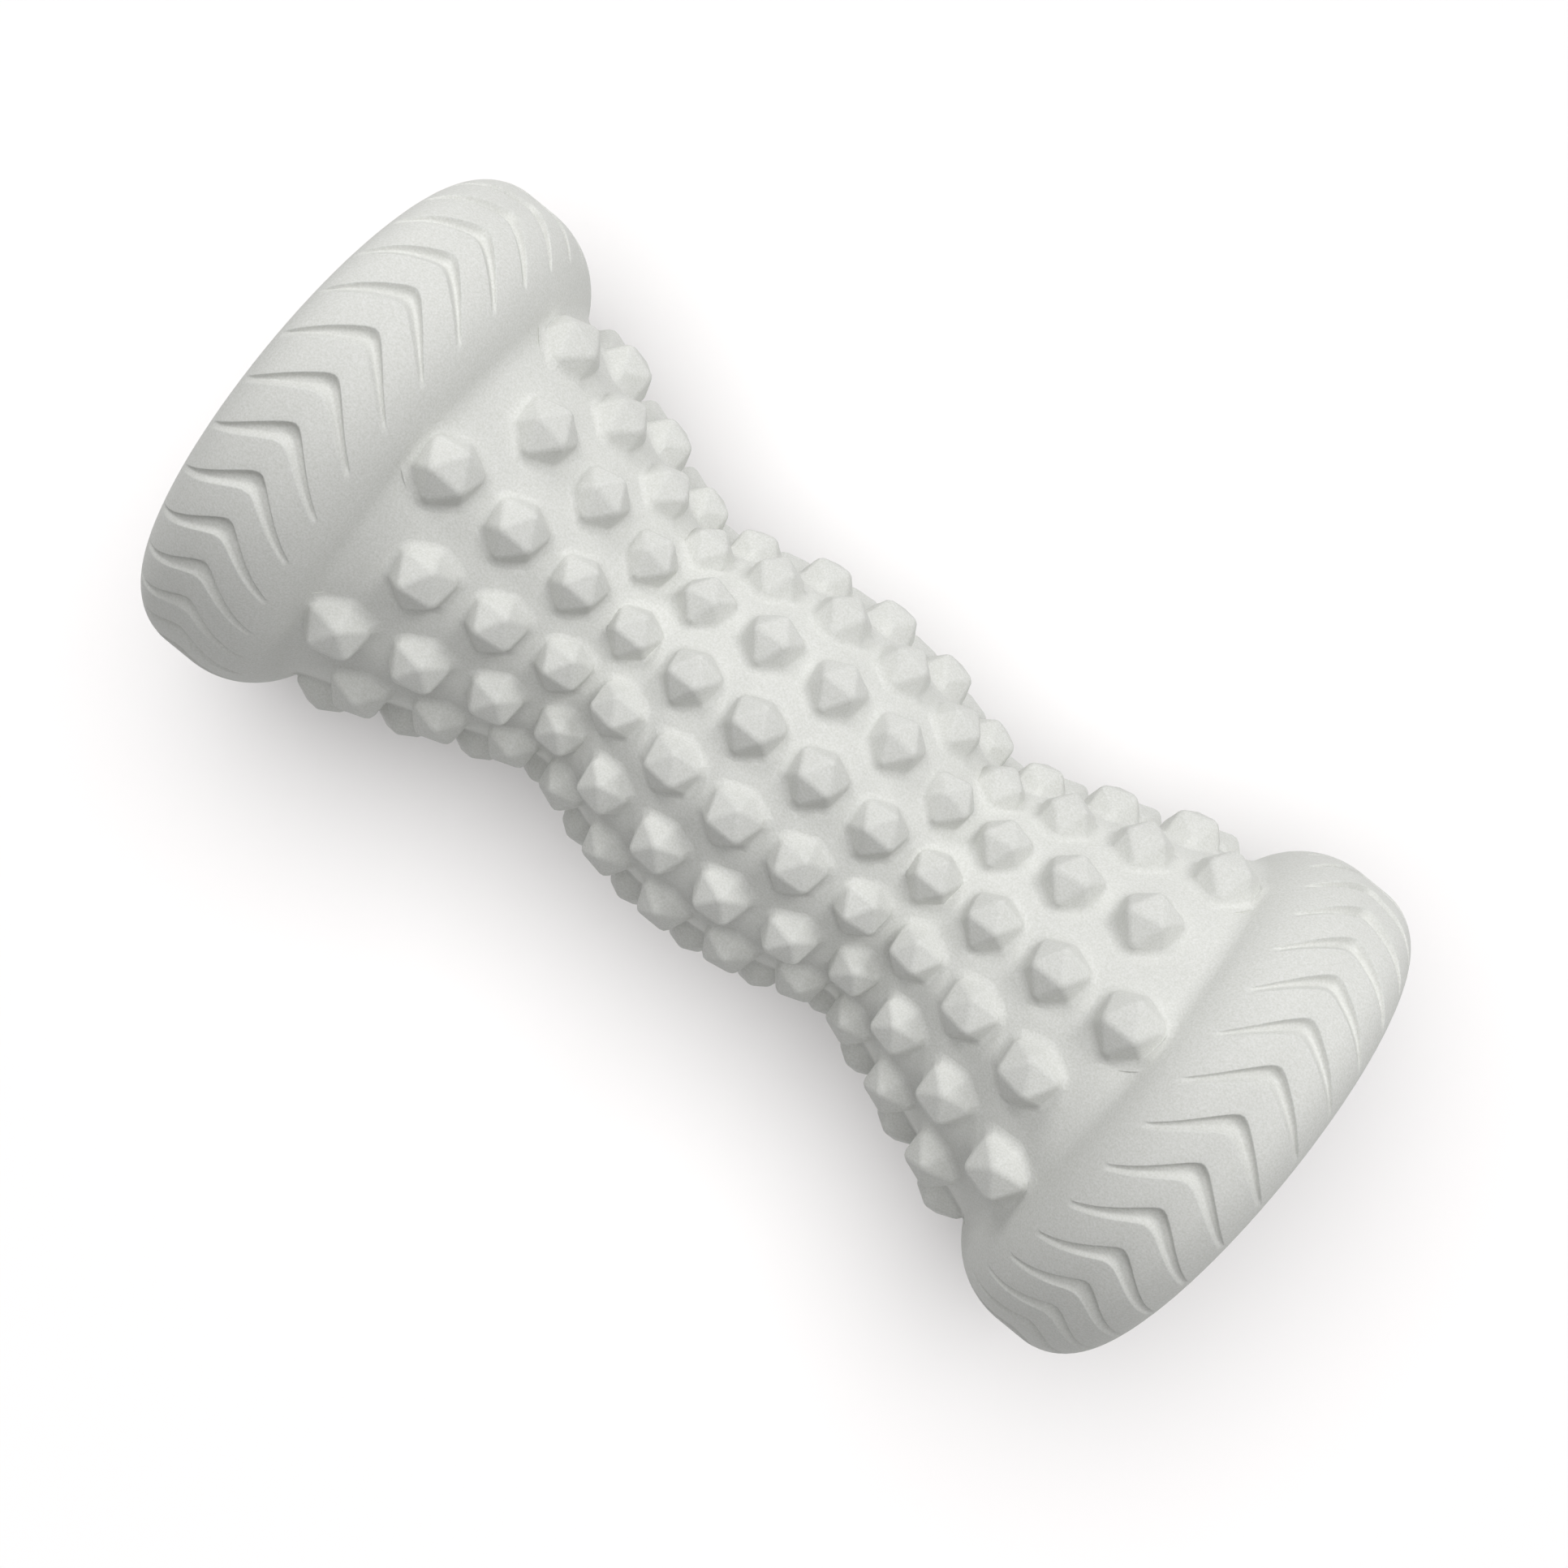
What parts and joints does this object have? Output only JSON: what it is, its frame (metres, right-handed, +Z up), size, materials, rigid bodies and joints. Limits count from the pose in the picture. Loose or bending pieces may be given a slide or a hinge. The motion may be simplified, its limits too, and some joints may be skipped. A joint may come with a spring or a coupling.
{
  "type": "dog training bumper",
  "caption": "Dumbbell-shaped foam retrieving bumper with wide treaded ends, a nubbed hourglass barrel and a launch sleeve moulded into its core.",
  "frame": {"origin": "on the surface that the bumper lies on, below the middle of its length and axis", "axes": "+X along the bumper's axis towards the open mouth of the launch sleeve, +Z up"},
  "size_m": [0.2, 0.0956, 0.0956],
  "materials": {
    "foam": "matte",
    "sleeve_metal": "satin",
    "collar_plastic": "matte",
    "seal_rubber": "matte",
    "pin_steel": "satin"
  },
  "bodies": {
    "root": {"foam_body": "foam", "launch_sleeve": "sleeve_metal", "mouth_collar": "collar_plastic", "sleeve_plug": "sleeve_metal", "plug_seal": "seal_rubber", "plug_pin": "pin_steel", "anchor_ring_front": "sleeve_metal", "anchor_ring_rear": "sleeve_metal"}
  },
  "joints": []
}
